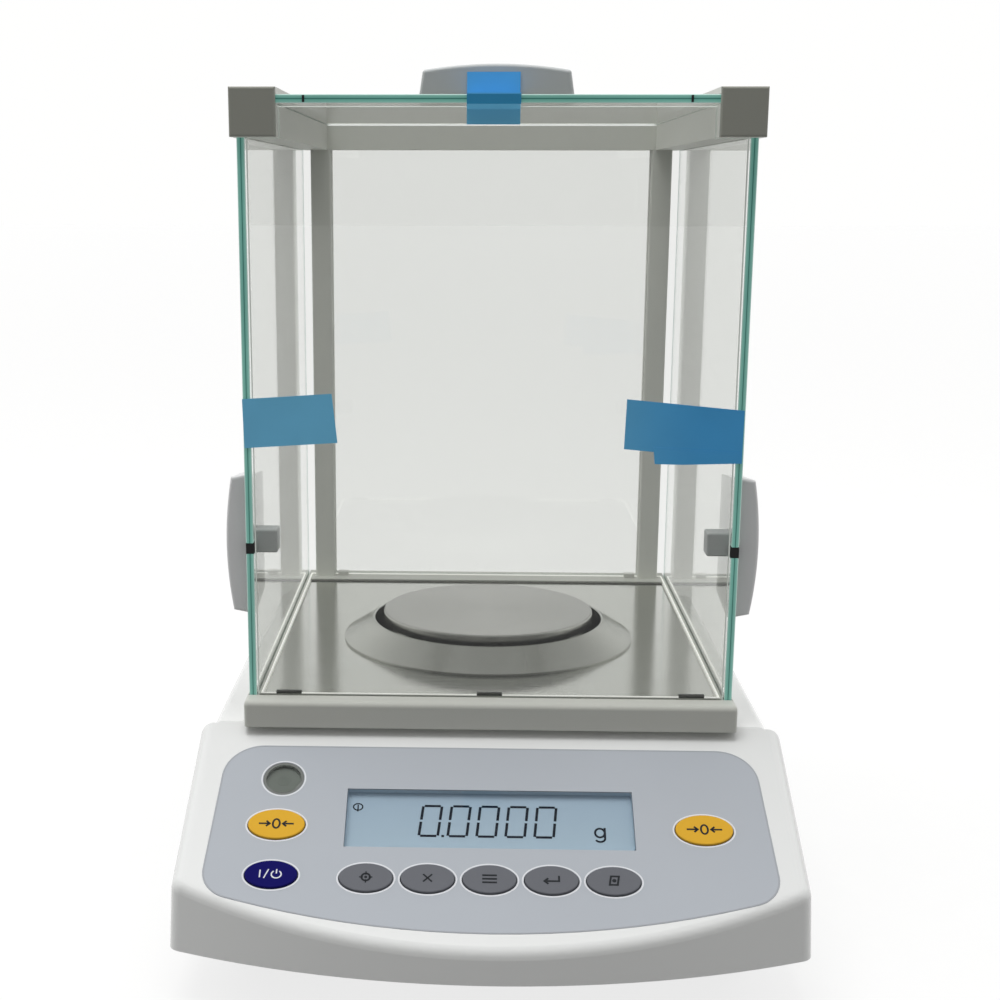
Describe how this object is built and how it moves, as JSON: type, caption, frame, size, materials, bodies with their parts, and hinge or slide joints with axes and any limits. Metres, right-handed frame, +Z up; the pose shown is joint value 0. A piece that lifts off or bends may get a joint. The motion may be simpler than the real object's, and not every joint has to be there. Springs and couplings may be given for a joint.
{
  "type": "analytical balance",
  "caption": "Electronic laboratory balance: sloping keypad housing with a glass draft shield on top, sliding side and top doors, a round weighing pan in a shield ring and levelling feet.",
  "frame": {"origin": "on the table under the middle of the object, between its sides and halfway from the front of the keypad to the back of the housing", "axes": "+X to the user's right, -Y towards the user (keypad side), +Z up"},
  "size_m": [0.23, 0.303, 0.33],
  "materials": {
    "white_housing": "glossy white moulded ABS",
    "cast_aluminium": "bead-blasted casting",
    "overlay_film": "pale blue-grey printed film",
    "display_lens": "clear acrylic",
    "display_glass": "liquid crystal glass",
    "dark_plastic": "black moulded plastic",
    "yellow_key": "warm yellow",
    "navy_key": "navy blue",
    "grey_key": "mid grey",
    "switch_dome": "snap dome",
    "circuit_board": "green solder resist",
    "level_cup": "grey cup",
    "level_lid": "clear lid",
    "screw_steel": "zinc-plated steel",
    "black_rubber": "moulded rubber",
    "foot_screw": "grey plastic wheel on a steel spindle",
    "magnet_steel": "nickel-plated iron",
    "copper": "enamelled copper wire",
    "lever": "milled bar",
    "shield_grey": "warm grey powder coat",
    "clear_glass": "clear float glass, polished green edges",
    "grip_grey": "mid grey moulding",
    "satin_steel": "satin stainless steel",
    "ring_steel": "spun stainless steel",
    "blue_film": "blue polyester tape"
  },
  "bodies": {
    "root": {"base_screws": "screw_steel", "board_components": "dark_plastic", "chassis": "cast_aluminium", "coil": "copper", "control_overlay": "overlay_film", "data_port": "dark_plastic", "display_lens": "display_lens", "floor_plate": "satin_steel", "front_pane": "clear_glass", "key_switches": "switch_dome", "keypad_board": "circuit_board", "lcd_backlight": "dark_plastic", "lcd_panel": "display_glass", "left_top_beam": "shield_grey", "level_cup": "level_cup", "level_lid": "level_lid", "lever": "lever", "magnet_pot": "magnet_steel", "main_board": "circuit_board", "pan_carrier": "cast_aluminium", "pane_clips": "dark_plastic", "parallel_guide": "screw_steel", "power_inlet": "dark_plastic", "rear_crossbar": "shield_grey", "rear_feet": "black_rubber", "rear_pane": "clear_glass", "rear_pillars": "shield_grey", "right_top_beam": "shield_grey", "shield_frame": "shield_grey", "shield_screws": "screw_steel", "side_transport_tapes": "blue_film", "top_transport_tape": "blue_film", "upper_housing": "white_housing", "weigh_cell_frame": "cast_aluminium"},
    "left_door": {"left_door_pane": "clear_glass", "left_door_bush": "black_rubber", "left_door_grip": "grip_grey", "left_door_clip": "grip_grey"},
    "right_door": {"right_door_pane": "clear_glass", "right_door_bush": "black_rubber", "right_door_grip": "grip_grey", "right_door_clip": "grip_grey"},
    "top_door": {"top_door_pane": "clear_glass", "top_door_grip": "grip_grey", "top_door_buffers": "black_rubber"},
    "pan": {"weighing_pan": "satin_steel", "pan_support": "satin_steel"},
    "shield_ring": {"shield_ring": "ring_steel"},
    "key_calibrate": {"key_calibrate": "grey_key"},
    "key_clear": {"key_clear": "grey_key"},
    "key_enter": {"key_enter": "grey_key"},
    "key_mode": {"key_mode": "grey_key"},
    "key_power": {"key_power": "navy_key"},
    "key_print": {"key_print": "grey_key"},
    "key_tare_left": {"key_tare_left": "yellow_key"},
    "key_tare_right": {"key_tare_right": "yellow_key"},
    "left_foot_pad": {"front_left_foot_pad": "black_rubber"},
    "left_foot_screw": {"front_left_foot_screw": "foot_screw"},
    "right_foot_pad": {"front_right_foot_pad": "black_rubber"},
    "right_foot_screw": {"front_right_foot_screw": "foot_screw"}
  },
  "joints": [
    {"name": "left_door_slide", "type": "slide", "parent": "root", "child": "left_door", "axis": [0, 1, 0], "range_m": [0, 0.15]},
    {"name": "right_door_slide", "type": "slide", "parent": "root", "child": "right_door", "axis": [0, 1, 0], "range_m": [0, 0.15]},
    {"name": "top_door_slide", "type": "slide", "parent": "root", "child": "top_door", "axis": [0, 1, 0], "range_m": [0, 0.15]},
    {"name": "pan_lift", "type": "slide", "parent": "root", "child": "pan", "axis": [0, 0, 1], "range_m": [0, 0.05]},
    {"name": "ring_lift", "type": "slide", "parent": "root", "child": "shield_ring", "axis": [0, 0, 1], "range_m": [0, 0.03]},
    {"name": "key_calibrate_press", "type": "slide", "parent": "root", "child": "key_calibrate", "axis": [0, 0.515, -0.8572], "range_m": [0, 0.0005], "stiffness_N_per_m": 3000},
    {"name": "key_clear_press", "type": "slide", "parent": "root", "child": "key_clear", "axis": [0, 0.515, -0.8572], "range_m": [0, 0.0005], "stiffness_N_per_m": 3000},
    {"name": "key_enter_press", "type": "slide", "parent": "root", "child": "key_enter", "axis": [0, 0.515, -0.8572], "range_m": [0, 0.0005], "stiffness_N_per_m": 3000},
    {"name": "key_mode_press", "type": "slide", "parent": "root", "child": "key_mode", "axis": [0, 0.515, -0.8572], "range_m": [0, 0.0005], "stiffness_N_per_m": 3000},
    {"name": "key_power_press", "type": "slide", "parent": "root", "child": "key_power", "axis": [0, 0.515, -0.8572], "range_m": [0, 0.0005], "stiffness_N_per_m": 3000},
    {"name": "key_print_press", "type": "slide", "parent": "root", "child": "key_print", "axis": [0, 0.515, -0.8572], "range_m": [0, 0.0005], "stiffness_N_per_m": 3000},
    {"name": "key_tare_left_press", "type": "slide", "parent": "root", "child": "key_tare_left", "axis": [0, 0.515, -0.8572], "range_m": [0, 0.0005], "stiffness_N_per_m": 3000},
    {"name": "key_tare_right_press", "type": "slide", "parent": "root", "child": "key_tare_right", "axis": [0, 0.515, -0.8572], "range_m": [0, 0.0005], "stiffness_N_per_m": 3000},
    {"name": "left_foot_extend", "type": "slide", "parent": "root", "child": "left_foot_pad", "axis": [0, 0, -1], "range_m": [0, 0.005]},
    {"name": "left_foot_turn", "type": "hinge", "parent": "left_foot_pad", "child": "left_foot_screw", "pos_m": [-0.088, -0.0805, 0.004], "axis": [0, 0, -1], "range_deg": [0, 1440]},
    {"name": "right_foot_extend", "type": "slide", "parent": "root", "child": "right_foot_pad", "axis": [0, 0, -1], "range_m": [0, 0.005]},
    {"name": "right_foot_turn", "type": "hinge", "parent": "right_foot_pad", "child": "right_foot_screw", "pos_m": [0.088, -0.0805, 0.004], "axis": [0, 0, -1], "range_deg": [0, 1440]}
  ],
  "couplings": [
    {"joint": "left_foot_turn", "follows": "left_foot_extend", "rad_per_m": 5026.5},
    {"joint": "right_foot_turn", "follows": "right_foot_extend", "rad_per_m": 5026.5}
  ]
}
